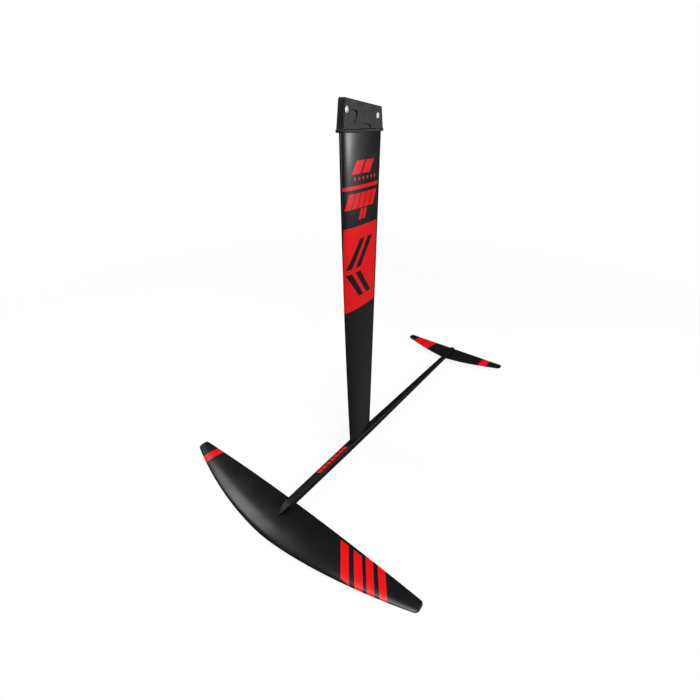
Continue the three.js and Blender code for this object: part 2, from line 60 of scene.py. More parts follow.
# %% [markdown]
# ## The viewpoint
#
# The foil is seen from its front left, from about the height of its head and looking down. The
# lens is short, so the mast looks wide at the top and narrow at the foot. A camera could track
# an empty, but three plain angles say the same thing and can be read as numbers.

# %% Camera
CAMERA_PLACE = Vector((0.5106, -0.8544, 0.8830))
CAMERA_AZIMUTH = math.radians(37.58)
CAMERA_TILT = math.radians(31.64)
CAMERA_ROLL = math.radians(0.32)
CAMERA_LENS = 19.96

camera_data = bpy.data.cameras.new("viewpoint")
camera_data.lens = CAMERA_LENS
camera = bpy.data.objects.new("viewpoint", camera_data)
bpy.context.scene.collection.objects.link(camera)
camera.matrix_world = (
    Matrix.Translation(CAMERA_PLACE)
    @ Matrix.Rotation(CAMERA_AZIMUTH, 4, "Z")
    @ Matrix.Rotation(math.pi / 2 - CAMERA_TILT, 4, "X")
    @ Matrix.Rotation(CAMERA_ROLL, 4, "Z")
)
bpy.context.scene.camera = camera
bpy.context.scene.view_settings.view_transform = "Standard"
print("camera at", tuple(camera.location))

# %% [markdown]
# ## Colours and nodes
#
# Colours are written as the hex values that a paint chart gives. Shaders work on linear light,
# so one function turns them. One more small function adds a node, sets it up and links it, which
# keeps each material down to the few lines that say what is special about it.

# %% Colour and node helpers
def colour(hex_value):
    """The linear colour, with alpha, of an sRGB hex value."""
    parts = [int(hex_value[i:i + 2], 16) / 255 for i in (1, 3, 5)]
    linear = [p / 12.92 if p <= 0.04045 else ((p + 0.055) / 1.055) ** 2.4 for p in parts]
    return (*linear, 1.0)


def fill(tree, made, inputs):
    """Fills a node's inputs with values or with links. A node stands for its first output."""
    for key, value in inputs.items():
        if isinstance(value, bpy.types.Node):
            value = value.outputs[0]
        if isinstance(value, bpy.types.NodeSocket):
            tree.links.new(value, made.inputs[key])
        else:
            made.inputs[key].default_value = value


def node(tree, kind, inputs=None, **settings):
    """Adds a node with its settings and its inputs."""
    made = tree.nodes.new("ShaderNode" + kind)
    for name, value in settings.items():
        setattr(made, name, value)
    fill(tree, made, inputs or {})
    return made


def new_material(name):
    """An empty material with its tree, its Principled shader and its Object coordinates."""
    material = bpy.data.materials.new(name)
    material.use_nodes = True
    tree = material.node_tree
    tree.nodes.clear()
    shader = node(tree, "BsdfPrincipled")
    node(tree, "OutputMaterial", {"Surface": shader})
    place = node(tree, "TexCoord").outputs["Object"]
    return material, tree, shader, place


print("a middle grey in linear light:", [round(c, 3) for c in colour("#808080")])

# %% [markdown]
# ## Patches and grain
#
# No made surface is even. Most finishes here drift a little in tone and in gloss, in broad soft
# patches, and carry a fine grain on top. Both come from noise on the object's coordinates, so
# they need no image and keep their scale on every piece. A noise gives most of its values
# between 0.3 and 0.7, so that range is stretched over the roughness.

# %% Patches and grain
NOISE_LOW, NOISE_HIGH = 0.3, 0.7


def patches(tree, place, scale, detail, dark, light, smooth, dull):
    """A tone and a roughness that drift together."""
    cloud = node(tree, "TexNoise", {"Vector": place, "Scale": scale, "Detail": detail})
    tone = node(tree, "Mix", {0: cloud, 6: colour(dark), 7: colour(light)}, data_type="RGBA")
    rough = node(tree, "MapRange", {0: cloud, 1: NOISE_LOW, 2: NOISE_HIGH, 3: smooth, 4: dull})
    return tone.outputs[2], rough


def grain(tree, place, spacing, detail, strength, depth):
    """A skin of bumps of a depth, a spacing apart."""
    rise = node(tree, "TexNoise", {"Vector": place, "Scale": 1 / spacing, "Detail": detail})
    return node(tree, "Bump", {"Strength": strength, "Distance": depth, "Height": rise})


# %% [markdown]
# ## Graphics as leaning bars
#
# The graphics are red paint under the clear coat. They could be cut into the mesh or laid on as
# decals, but both leave an edge that the real, flat paint doesn't have. A mask in the shader
# stays sharp and flat. Every graphic here is a bar, which may lean, or a row of such bars.

# %% A mask of leaning bars
def bars(tree, place, middle, width, height, lean=0.0, count=1, share=0.6):
    """A mask that is 1 inside a row of bars. width and height are vectors across the whole row,
    lean moves the bars' tops along the width, and share is how much of the row is covered."""
    away = node(tree, "VectorMath", {0: place, 1: middle}, operation="SUBTRACT")
    up = height / height.length_squared * 2
    side = width / width.length_squared * 2 - up * lean
    inside = []
    for direction in (side, up):
        reach = node(
            tree, "VectorMath", {0: away, 1: direction}, operation="DOT_PRODUCT").outputs["Value"]
        size = node(tree, "Math", {0: reach}, operation="ABSOLUTE")
        inside.append(node(tree, "Math", {0: size, 1: 1.0}, operation="LESS_THAN"))
        if direction is side and count > 1:
            turns = (count - 1 + share) / 2
            steps = node(tree, "Math", {0: reach, 1: turns, 2: turns}, operation="MULTIPLY_ADD")
            part = node(tree, "Math", {0: steps}, operation="FRACT")
            inside.append(node(tree, "Math", {0: part, 1: share}, operation="LESS_THAN"))
    mask = inside[0]
    for other in inside[1:]:
        mask = node(tree, "Math", {0: mask, 1: other}, operation="MULTIPLY")
    return mask


def joined(tree, masks):
    """1 where any of the masks is 1."""
    mask = masks[0]
    for other in masks[1:]:
        mask = node(tree, "Math", {0: mask, 1: other}, operation="MAXIMUM")
    return mask


# %% [markdown]
# ## Satin carbon laminate
#
# Mast, wings and stabiliser are carbon cloth in epoxy, sanded and sprayed with a satin clear
# coat. Black resin hides most of the weave, and what is left is a faint twill: two tows over and
# two under, one step further on each row. Each tow carries a painted highlight: its middle is
# coloured lighter than its edges, where a rounded tow would catch the light. Cloth of this weight
# has tows 2 mm wide. They are drawn 4 mm wide here, because finer ones don't show.

# %% Twill weave and satin lacquer
TOW = 4 * MM
CARBON_DARK = "#08080A"
CARBON_TOW_HIGHLIGHT = "#151518"
PAINT_RED = "#DD0A10"
PRINT_RED = "#CC080E"
PAINT_BLACK = "#0C0C0D"
LACQUER_SMOOTH, LACQUER_DULL = 0.27, 0.38
LACQUER_WAVE = 0.05 * MM


def twill(tree, place, plane):
    """A painted highlight across each tow, lightest at its middle, laid out in twill order. plane
    names the two axes that the cloth lies in.
    """
    axes = node(tree, "SeparateXYZ", {0: place}).outputs
    warp, weft = [node(tree, "Math", {0: axes["XYZ".index(a)], 1: 1 / TOW}, operation="MULTIPLY")
                  for a in plane]
    cells = [node(tree, "Math", {0: s}, operation="FLOOR") for s in (warp, weft)]
    step = node(tree, "Math", {0: cells[0], 1: cells[1]}, operation="ADD")
    turn = node(tree, "Math", {0: step, 1: 4.0}, operation="FLOORED_MODULO")
    over = node(tree, "Math", {0: turn, 1: 2.0}, operation="LESS_THAN")
    # Each tow is coloured lightest along its middle: a painted highlight on its crown.
    tow_highlights = []
    for s in (warp, weft):
        part = node(tree, "Math", {0: s, 1: 0.5}, operation="PINGPONG")
        tow_highlights.append(node(tree, "Math", {0: part, 1: 2.0}, operation="MULTIPLY"))
    return node(tree, "Mix", {0: over, 2: tow_highlights[0], 3: tow_highlights[1]}, data_type="FLOAT")


def satin_carbon(name, plane, paint=None):
    """Carbon laminate under satin lacquer. paint(tree, place) gives the masks of red and black.
    Handling leaves the lacquer a little duller in patches, and spraying leaves low waves."""
    material, tree, shader, place = new_material("carbon laminate, satin lacquer, " + name)
    weave_and_highlight = twill(tree, place, plane)
    # The cloth's colour carries the painted highlight along the middle of each tow.
    surface = node(
        tree, "Mix", {0: weave_and_highlight, 6: colour(CARBON_DARK), 7: colour(CARBON_TOW_HIGHLIGHT)},
        data_type="RGBA").outputs[2]
    handled = node(tree, "TexNoise", {"Vector": place, "Scale": 14.0, "Detail": 3.0})
    rough = node(tree, "MapRange", {
        0: handled, 1: NOISE_LOW, 2: NOISE_HIGH, 3: LACQUER_SMOOTH, 4: LACQUER_DULL})
    if paint:
        red, black = paint(tree, place)
        tone = node(tree, "TexNoise", {"Vector": place, "Scale": 60.0, "Detail": 2.0})
        reds = node(
            tree, "Mix", {0: tone, 6: colour(PAINT_RED), 7: colour(PRINT_RED)},
            data_type="RGBA").outputs[2]
        surface = node(tree, "Mix", {0: red, 6: surface, 7: reds}, data_type="RGBA").outputs[2]
        if black:
            surface = node(
                tree, "Mix", {0: black, 6: surface, 7: colour(PAINT_BLACK)},
                data_type="RGBA").outputs[2]
    fill(tree, shader, {
        "Base Color": surface, "Roughness": rough, "Specular IOR Level": 0.28,
        "Normal": grain(tree, place, 2 * MM, 1.0, 0.25, LACQUER_WAVE),
        "Coat Weight": 0.1, "Coat Roughness": 0.22})
    return material


# %% [markdown]
# ## Moulded, anodised, turned and foamed finishes
#
# The head is moulded from nylon with short carbon fibres: dark grey, dull, with a fine grain
# from the mould. The fuselage is an aluminium bar, blasted with glass beads and anodised black:
# the oxide darkens the metal but keeps its cool sheen. Nuts and screws are turned from stainless
# steel, so their faces carry fine rings round the axis. The cores are closed-cell foam.

# %% Moulded nylon
def moulded_nylon():
    material, tree, shader, place = new_material("carbon filled nylon, moulded")
    tone, rough = patches(tree, place, 45.0, 4.0, "#070708", "#222324", 0.4, 0.56)
    fill(tree, shader, {
        "Base Color": tone, "Roughness": rough, "Specular IOR Level": 0.2,
        "Normal": grain(tree, place, 0.8 * MM, 4.0, 0.35, 0.15 * MM)})
    return material


# %% Anodised aluminium
def anodised_aluminium(paint):
    """Black anodised bar with a printed mark."""
    material, tree, shader, place = new_material("black anodised aluminium, bead blasted")
    tone, rough = patches(tree, place, 30.0, 3.0, "#161618", "#222225", 0.36, 0.46)
    red, _ = paint(tree, place)
    printed = node(tree, "Mix", {0: red, 6: tone, 7: colour(PRINT_RED)}, data_type="RGBA")
    metal = node(tree, "MapRange", {0: red, 3: 0.75, 4: 0.0})
    fill(tree, shader, {
        "Base Color": printed.outputs[2], "Metallic": metal, "Roughness": rough,
        "Normal": grain(tree, place, 0.6 * MM, 2.0, 0.3, 0.08 * MM)})
    return material


# %% Turned stainless steel
RING_PITCH = 0.5 * MM


def turned_steel(name, centre, axis):
    """Rings of turning marks round an axis, given as X or Z, through a centre."""
    material, tree, shader, place = new_material("stainless steel, turned, " + name)
    tone, rough = patches(tree, place, 400.0, 3.0, "#8F9193", "#B5B7B9", 0.42, 0.56)
    about = node(tree, "Mapping", {0: place, 1: -centre})
    flat = {"X": (0, 1, 1), "Z": (1, 1, 0)}[axis]
    across = node(tree, "VectorMath", {0: about, 1: flat}, operation="MULTIPLY")
    radius = node(tree, "VectorMath", {0: across}, operation="LENGTH").outputs["Value"]
    # Turning leaves a groove each 0.15 mm. They are drawn wider apart, so that they show.
    rings = node(tree, "Math", {0: radius, 1: 2 * math.pi / RING_PITCH}, operation="MULTIPLY")
    wave = node(tree, "Math", {0: rings}, operation="SINE")
    fill(tree, shader, {
        "Base Color": tone, "Metallic": 1.0, "Roughness": rough,
        "Normal": node(tree, "Bump", {"Strength": 0.2, "Distance": 0.02 * MM, "Height": wave})})
    return material


# %% Closed-cell foam and milled aluminium
def closed_cell_foam():
    material, tree, shader, place = new_material("closed cell foam, milled")
    cells = node(tree, "TexVoronoi", {"Vector": place, "Scale": 1 / (0.9 * MM)})
    tone = node(
        tree, "Mix", {0: cells, 6: colour("#E0D6B6"), 7: colour("#C6B98F")}, data_type="RGBA")
    bump = node(tree, "Bump", {"Strength": 0.6, "Distance": 0.3 * MM, "Height": cells})
    fill(tree, shader, {"Base Color": tone.outputs[2], "Roughness": 0.9, "Normal": bump})
    return material


def milled_aluminium():
    material, tree, shader, place = new_material("aluminium, end milled")
    # The cutter leaves a step every 0.4 mm. A wave texture repeats 20 / (2 pi) times faster than
    # its scale says, so the steps come out about 2.5 mm wide, as coarse as they need to show.
    lines = node(
        tree, "TexWave", {"Vector": place, "Scale": 1 / (0.4 * MM) / 20, "Distortion": 0.4},
        bands_direction="Z").outputs[1]
    tone = node(
        tree, "Mix", {0: lines, 6: colour("#AEB1B5"), 7: colour("#C4C7CA")}, data_type="RGBA")
    bump = node(tree, "Bump", {"Strength": 0.3, "Distance": 0.03 * MM, "Height": lines})
    fill(tree, shader, {
        "Base Color": tone.outputs[2], "Metallic": 1.0, "Roughness": 0.35, "Normal": bump})
    return material


# %% [markdown]
# ## Lofting by hand
#
# Blades, wings, the bar and the turned parts are all one kind of shape: a closed outline that
# changes as it travels. So they are all made one way. A circle is added, its points are moved on
# to the first outline, and it is extruded again and again, each new ring moved on to the next
# outline. Every point keeps its number, which says where on the outline it belongs. A curve with
# a bevel object could not change its section freely, and a cage of few faces under a subdivision
# surface would draw in the thin trailing edges.

# %% Rings and lofts
def ring(name, count):
    """Adds a circle of numbered points, and leaves it in edit mode."""
    bpy.ops.object.select_all(action="DESELECT")
    bpy.ops.mesh.primitive_circle_add(vertices=count, radius=1 * MM, fill_type="NOTHING")
    piece = bpy.context.object
    piece.name = name
    piece.data.name = name
    number = piece.data.attributes.new("number", "INT", "POINT")
    number.data.foreach_set("value", range(count))
    bpy.ops.object.mode_set(mode="EDIT")
    bpy.ops.mesh.select_mode(type="VERT")
    bpy.ops.mesh.select_all(action="SELECT")
    return piece


def move_ring(piece, point_at):
    """Moves the selected points to where the outline has them."""
    shape = bmesh.from_edit_mesh(piece.data)
    number = shape.verts.layers.int["number"]
    for vertex in shape.verts:
        if vertex.select:
            vertex.co = point_at(vertex[number])
    bmesh.update_edit_mesh(piece.data)


def loft(name, outlines, count, ends="fill"):
    """A closed skin through outlines, functions from a point's number to its place. Its ends are
    filled, or bridged to each other where the skin turns back inside itself."""
    piece = ring(name, count)
    move_ring(piece, outlines[0])
    for point_at in outlines[1:]:
        bpy.ops.mesh.extrude_region_move()
        move_ring(piece, point_at)
    bpy.ops.mesh.select_all(action="DESELECT")
    bpy.ops.mesh.select_non_manifold(
        extend=False, use_wire=False, use_boundary=True, use_multi_face=False,
        use_non_contiguous=False, use_verts=False)
    if ends == "fill":
        bpy.ops.mesh.fill_holes(sides=0)
    else:
        bpy.ops.mesh.bridge_edge_loops()
    bpy.ops.mesh.select_all(action="SELECT")
    bpy.ops.mesh.normals_make_consistent(inside=False)
    bpy.ops.object.mode_set(mode="OBJECT")
    piece.data.attributes.remove(piece.data.attributes["number"])
    return piece


def mix(a, b, share):
    return a + (b - a) * share


# %% Cutting and joining with another piece
def pick(piece):
    """Makes a piece the only one selected, and the active one."""
    bpy.ops.object.select_all(action="DESELECT")
    bpy.context.view_layer.objects.active = piece
    piece.select_set(True)


def cut(piece, tool, operation="DIFFERENCE"):
    """Cuts a tool out of a piece, or joins it on, and removes the tool."""
    pick(piece)
    change = piece.modifiers.new("cut", "BOOLEAN")
    change.operation = operation
    change.solver = "EXACT"
    change.object = tool
    bpy.ops.object.modifier_apply(modifier=change.name)
    bpy.data.objects.remove(tool)


def place_circle(radius, height, centre, axis="Z", count=48):
    """An outline: a circle round an axis through a centre, at a height along it."""
    def point_at(i):
        turn = 2 * math.pi * i / count
        a, b = radius * math.cos(turn), radius * math.sin(turn)
        return centre + (Vector((a, b, height)) if axis == "Z" else Vector((height, a, b)))
    return point_at


def stood(node_name):
    """Where an upright turned node stands: the middle of its foot, its radius and its length."""
    low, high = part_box(node_name)
    foot = Vector(((low.x + high.x) / 2, (low.y + high.y) / 2, low.z))
    return foot, (high.x - low.x) / 2, high.z - low.z


def centre_of(node_name):
    low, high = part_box(node_name)
    return (low + high) / 2


def block(name, centre, size):
    """A cube shaped to a size, and left in edit mode."""
    bpy.ops.object.select_all(action="DESELECT")
    bpy.ops.mesh.primitive_cube_add(size=1, location=centre)
    piece = bpy.context.object
    piece.name = name
    bpy.ops.object.mode_set(mode="EDIT")
    bpy.ops.transform.resize(value=size)
    return piece


def turned(name, profile, centre, axis="Z", count=48):
    """A turned body from pairs of radius and height along its axis."""
    outlines = [place_circle(r, h, centre, axis, count) for r, h in profile]
    return loft(name, outlines, count)


# %% [markdown]
# ## Finishing a piece
#
# Each piece is finished the same way: it is shaded smooth up to a crease, it gets its material,
# it stands for its CAD node, and it rides on the node's body. A wide flat face beside a small
# rounded edge would be shaded as if it bulged. Weighted normals let the flat face win, which a
# real flat face does too.

# %% Finish helper
node_body = {n: body for body, names in frame["record"]["behaviour"]["bodies"].items()
             for n in names}
CREASE = math.radians(35)


def finish_piece(piece, cad_node, material, flats=False):
    """Shades and dresses a piece. flats says that it has flat faces beside rounded edges."""
    pick(piece)
    bpy.ops.object.shade_smooth_by_angle(angle=CREASE)
    if flats:
        weighted = piece.modifiers.new("weighted", "WEIGHTED_NORMAL")
        weighted.keep_sharp = True
        bpy.ops.object.modifier_apply(modifier=weighted.name)
    piece.data.materials.clear()
    piece.data.materials.append(material)
    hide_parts(cad_node)
    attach(piece, node_body[cad_node])
    low = [round(min(v.co[i] for v in piece.data.vertices) / MM, 1) for i in range(3)]
    high = [round(max(v.co[i] for v in piece.data.vertices) / MM, 1) for i in range(3)]
    print(f"{piece.name}: {len(piece.data.polygons)} faces, from {low} to {high} mm")


# %% [markdown]
# ## Aerofoil sections
#
# Mast, wing and stabiliser share one family of sections: round at the front, thickest at a third
# of the chord, thin at the rear. The old four-digit formula gives that thickness, and a camber
# line bends the front wing's section upwards. The trailing edge keeps a small real thickness,
# because a laminate can't end in a knife.

# %% Section formulas
def aerofoil_half(share):
    """Half the thickness of a section of unit thickness, at a share of its chord."""
    s = max(share, 0.0)
    curve = 0.2969 * math.sqrt(s) - 0.126 * s - 0.3516 * s**2 + 0.2843 * s**3 - 0.1036 * s**4
    return 5 * curve


def camber_line(share, top=0.4):
    """The height of the middle line of a section of unit camber."""
    if share < top:
        return (2 * top * share - share**2) / top**2
    return (1 - 2 * top + 2 * top * share - share**2) / (1 - top) ** 2


def section(front, rear, thick, edge, camber=0.0, lift=0.0):
    """The middle line and the half thickness of a section, at any place along its chord."""
    chord = rear - front

    def middle(y):
        return lift + camber * chord * camber_line((y - front) / chord)

    def half(y):
        share = (y - front) / chord
        return thick * aerofoil_half(share) + edge / 2 * share

    return front, rear, middle, half


def chord_share(i, steps):
    """Places round a section: over one side from rear to front, then back along the other."""
    if i < steps:
        return (1 + math.cos(math.pi * (i + 0.5) / steps)) / 2, 1
    return (1 - math.cos(math.pi * (i - steps + 0.5) / steps)) / 2, -1


print("half thickness at a third of the chord:", round(aerofoil_half(1 / 3), 3))

# %% [markdown]
# ## The mast
#
# The mast is a hollow carbon blade, moulded in one piece. It is 135 mm deep under the board and
# 98 mm at the foot, and both its edges lean. Its skin is lofted up outside, turned over at the
# top and brought down inside, so that wall, nose and tail have their real thickness.

# %% Mast sizes, from the frame
MAST_CHORD_FOOT = 98 * MM
MAST_CHORD_EASE = 0.5
MAST_THICK_TOP = 15.5 * MM
MAST_THICK_FOOT = 13 * MM
MAST_EDGE = 1.4 * MM
MAST_WALL = 2 * MM
MAST_NOSE_WALL = 5 * MM
MAST_TAIL_WALL = 18 * MM
MAST_BEHIND_COLLAR = 0.3 * MM
MAST_STEPS = 32
MAST_RINGS = 25

mast_low, mast_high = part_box("mast_shell")
head_low, head_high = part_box("mast_head")
bar_low, bar_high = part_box("fuselage")
foot_z = bar_high.z
top_z = mast_high.z
mast_length = top_z - foot_z
rear_top = head_high.y + MAST_BEHIND_COLLAR
rear_foot = mast_high.y
chord_top = rear_top - mast_low.y
print("mast:", round(mast_length / MM), "mm long, chord", round(chord_top / MM), "mm at the top")


# %% Mast outlines
def mast_section(z):
    share = (z - foot_z) / mast_length
    eased = (1 + MAST_CHORD_EASE) * share - MAST_CHORD_EASE * share**2
    rear = mix(rear_foot, rear_top, share)
    front = rear - mix(MAST_CHORD_FOOT, chord_top, eased)
    return section(front, rear, mix(MAST_THICK_FOOT, MAST_THICK_TOP, share), MAST_EDGE)


def mast_outline(z, nose=0.0, tail=0.0, wall=0.0):
    """The mast's section at a height, drawn in by a wall, or let out by a negative one."""
    front, rear, _, half = mast_section(z)

    def point_at(i):
        share, side = chord_share(i, MAST_STEPS)
        y = mix(front + nose, rear - tail, share)
        x = max(half(min(max(y, front), rear)) - wall, 0.15 * MM)
        return Vector((side * x, y, z))
    return point_at


mast_heights = [mix(mast_low.z, mast_high.z, i / (MAST_RINGS - 1)) for i in range(MAST_RINGS)]
outside = [mast_outline(z) for z in mast_heights]
inside = [mast_outline(z, MAST_NOSE_WALL, MAST_TAIL_WALL, MAST_WALL)
          for z in reversed(mast_heights)]
mast_blade = loft("mast_blade", outside + inside, 2 * MAST_STEPS, ends="bridge")

# %% [markdown]
# The graphics on the mast are a stack near the head: a small pair of marks, a fine stripe, a row
# of leaning bars, and a tall red panel with dark bars in it. Both sides of the mast carry them.

# %% Mast paint
ALONG, ACROSS, UP = Vector((0, 1, 0)), Vector((1, 0, 0)), Vector((0, 0, 1))


def mast_place(y, height):
    """A point on the mast's side, from its trailing edge at the top and above its foot, in mm."""
    return Vector((0, rear_top + y * MM, foot_z + height * MM))


def mast_paint(tree, place):
    red = [
        bars(tree, place, mast_place(-67, 748), ALONG * 64 * MM, UP * 24 * MM, 0.25, 2, 0.82),
        bars(tree, place, mast_place(-59, 727), ALONG * 80 * MM, UP * 6 * MM, 0, 6, 0.35),
        bars(tree, place, mast_place(-69, 711), ALONG * 122 * MM, UP * 7 * MM),
        bars(tree, place, mast_place(-69, 685), ALONG * 102 * MM, UP * 30 * MM, 0.12, 5, 0.86),
        bars(tree, place, mast_place(-66, 657), ALONG * 24 * MM, UP * 21 * MM, 0.3, 2, 0.8),
        bars(tree, place, mast_place(-66, 535.5), ALONG * 122 * MM, UP * 195 * MM),
    ]
    black = [
        bars(tree, place, mast_place(-73, 573), ALONG * 52 * MM, UP * 62 * MM, 0.9, 2, 0.6),
        bars(tree, place, mast_place(-73, 500), ALONG * 52 * MM, UP * 62 * MM, -0.9, 2, 0.6),
    ]
    return joined(tree, red), joined(tree, black)


finish_piece(mast_blade, "mast_shell", satin_carbon("mast", "YZ", mast_paint))

# %% [markdown]
# ## The head
#
# The head is the wedge that a board's box holds. A collar under it takes the load on the board's
# bottom. The wedge leans in at both ends and at its sides, and its top falls to the rear. It is
# lofted from rounded rectangles, with the rounded edges drawn as extra rings, so no bevel has to
# guess them. Bores for the nuts and bolts are cut afterwards, with a small countersink each.

# %% Rounded rectangles and rounded edges
CORNER_STEPS = 8
RECTANGLE_POINTS = 4 * (CORNER_STEPS + 1)


def rectangle_point(i, u0, u1, v0, v1, radius):
    """A point of a rounded rectangle, numbered round its four corners."""
    corner, step = divmod(i, CORNER_STEPS + 1)
    angle = math.pi / 2 * (corner + step / CORNER_STEPS)
    u = (u1 - radius) if corner in (0, 3) else (u0 + radius)
    v = (v1 - radius) if corner in (0, 1) else (v0 + radius)
    return u + radius * math.cos(angle), v + radius * math.sin(angle)


def round_edge(radius, steps=5):
    """How far a rounded edge has come in, and up, from its sharp corner. It starts on the face."""
    angles = [math.pi / 2 * i / steps for i in range(steps + 1)]
    return [(radius * (1 - math.sin(a)), radius * (1 - math.cos(a))) for a in angles]


# %% Head outlines
GAP = 0.3 * MM
COLLAR_HEIGHT = 5 * MM
COLLAR_RADIUS = 9 * MM
HEAD_STEP = 3.2 * MM
HEAD_WIDTH = 18.4 * MM
HEAD_WIDTH_TOP = 17 * MM
HEAD_HEIGHT_FRONT = 51.4 * MM
HEAD_HEIGHT_REAR = 36.2 * MM
HEAD_END_TAPER = 5.8 * MM
HEAD_RADIUS = 4 * MM
HEAD_TENON = 45 * MM
collar_z = top_z + GAP
shoulder_z = collar_z + COLLAR_HEIGHT


def head_top(y):
    share = (y - head_low.y) / (head_high.y - head_low.y)
    return shoulder_z + mix(HEAD_HEIGHT_FRONT, HEAD_HEIGHT_REAR, share)


def collar_outline(inset, z):
    half = head_high.x - inset

    def point_at(i):
        x, y = rectangle_point(
            i, -half, half, head_low.y + inset, head_high.y - inset, COLLAR_RADIUS - inset)
        return Vector((x, y, z))
    return point_at


def wedge_outline(share, inset=0.0, down=0.0):
    """The wedge's outline at a share of its height, drawn in by inset and lowered by down."""
    taper = HEAD_END_TAPER * share + HEAD_STEP + inset
    half = mix(HEAD_WIDTH, HEAD_WIDTH_TOP, share) / 2 - inset

    def point_at(i):
        x, y = rectangle_point(
            i, -half, half, head_low.y + taper, head_high.y - taper, HEAD_RADIUS - inset)
        return Vector((x, y, mix(shoulder_z, head_top(y), share) - down))
    return point_at


COLLAR_EDGE = round_edge(1.2 * MM)
WEDGE_EDGE = round_edge(1.8 * MM)
WEDGE_FOOT = round_edge(1.0 * MM)
head_outlines = [collar_outline(inset, collar_z + up) for inset, up in COLLAR_EDGE]
head_outlines += [collar_outline(inset, shoulder_z - up) for inset, up in reversed(COLLAR_EDGE)]
head_outlines += [wedge_outline(0, -out, -up) for out, up in WEDGE_FOOT]
head_outlines += [wedge_outline(i / 8) for i in range(1, 8)]
head_outlines += [wedge_outline(1, inset, down) for inset, down in reversed(WEDGE_EDGE)]
mast_wedge = loft("mast_wedge_head", head_outlines, RECTANGLE_POINTS)

# %% [markdown]
# Under the collar a tenon fills the top of the hollow mast, where it is bonded. The sides of the
# wedge have shallow moulded pockets, which save weight: one behind the front nut, a low arch over
# the collar and two ovals near the top. Their walls slope, as a mould's must.

# %% Tenon, pockets and bores
tenon_heights = [top_z - HEAD_TENON, top_z, collar_z + COLLAR_HEIGHT / 2]
tenon = loft("tenon", [
    mast_outline(z, MAST_NOSE_WALL + GAP, MAST_TAIL_WALL + GAP, MAST_WALL + GAP)
    for z in tenon_heights], 2 * MAST_STEPS)
cut(mast_wedge, tenon, "UNION")


def pocket(side, y, height, long, tall, depth, shape):
    """A shallow pocket with sloping walls, cut into one side of the wedge. shape gives its
    outline, of unit size, from an angle."""
    face = mix(HEAD_WIDTH, HEAD_WIDTH_TOP, height * MM / HEAD_HEIGHT_FRONT) / 2

    def outline(size, out):
        def point_at(i):
            u, v = shape(2 * math.pi * i / 48)
            return Vector((side * (face + out * MM), head_low.y + (y + u * long * size) * MM,
                           shoulder_z + (height + v * tall * size) * MM))
        return point_at
    steps = [(1.3, 3), (1.06, 0.7), (1, 0), (0.94, -0.7 * depth), (0.88, -0.93 * depth),
             (0.8, -depth)]
    return loft("pocket", [outline(size, out) for size, out in steps], 48)


def arch(angle):
    return math.cos(angle), max(math.sin(angle), -0.2)


def oval(angle):
    return math.cos(angle), math.sin(angle)


def rounded_triangle(angle):
    reach = 1 + 0.12 * math.cos(3 * (angle - 0.35))
    return reach * math.cos(angle), reach * math.sin(angle)


for side in (-1, 1):
    cut(mast_wedge, pocket(side, 36.5, 22.5, 10.5, 10.5, 3.0, rounded_triangle))
    cut(mast_wedge, pocket(side, 73, 2.4, 19, 7.5, 2.6, arch))
    cut(mast_wedge, pocket(side, 49, 38.8, 16, 2.6, 1.0, oval))
    cut(mast_wedge, pocket(side, 90, 32.5, 11, 4, 1.4, oval))

BOLT_BORE = 4.3 * MM
NUT_CLEARANCE = 0.3 * MM
for place in ("front", "rear"):
    low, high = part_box("barrel_nut_" + place)
    nut = (low + high) / 2
    radius = (high.z - low.z) / 2
    mouth = head_top(nut.y) - nut.z
    across = radius + NUT_CLEARANCE
    half = mix(HEAD_WIDTH, HEAD_WIDTH_TOP, 0.6) / 2
    sink = 0.6 * MM
    profile = [(across + 2 * sink, -half - sink), (across, -half + sink),
               (across, half - sink), (across + 2 * sink, half + sink)]
    cut(mast_wedge, turned("nut_bore", profile, nut, "X", 64))
    profile = [(0.5 * MM, -2 * radius - BOLT_BORE / 2), (BOLT_BORE, -2 * radius),
               (BOLT_BORE, mouth - 2 * sink), (BOLT_BORE + 3 * sink, mouth + sink)]
    cut(mast_wedge, turned("bolt_bore", profile, nut))
finish_piece(mast_wedge, "mast_head", moulded_nylon(), flats=True)

# %% [markdown]
# ## Threads, screws and nuts
#
# A thread could be a bump pattern, but the parts are also used as plain meshes, where a bump is
# lost. The same loft makes a real thread: each ring's points step in and out with their angle,
# and the step moves on a little from ring to ring. Screws are countersunk, with a hexagon socket.

# %% Thread outline
SCREW_POINTS = 48


def thread_outline(centre, height, radius, depth, pitch):
    """A ring of an upright thread of a given outer radius, at a height along its axis."""
    def point_at(i):
        turn = i / SCREW_POINTS
        phase = (height / pitch - turn) % 1
        reach = radius - depth * abs(2 * phase - 1)
        angle = 2 * math.pi * turn
        return centre + Vector((reach * math.cos(angle), reach * math.sin(angle), height))
    return point_at


# %% Countersunk screws
SCREW_HEAD_HEIGHT = 3 * MM
SCREW_RADIUS = 3 * MM
SCREW_PITCH = 1 * MM
SCREW_THREAD = 0.45 * MM
SOCKET_RADIUS = 2.3 * MM
SOCKET_DEPTH = 2.2 * MM


def hexagon_outline(centre, radius, height):
    def point_at(i):
        angle = 2 * math.pi * i / SCREW_POINTS
        reach = radius * math.cos(math.pi / 6) / math.cos((angle % (math.pi / 3)) - math.pi / 6)
        return centre + Vector((reach * math.cos(angle), reach * math.sin(angle), height))
    return point_at


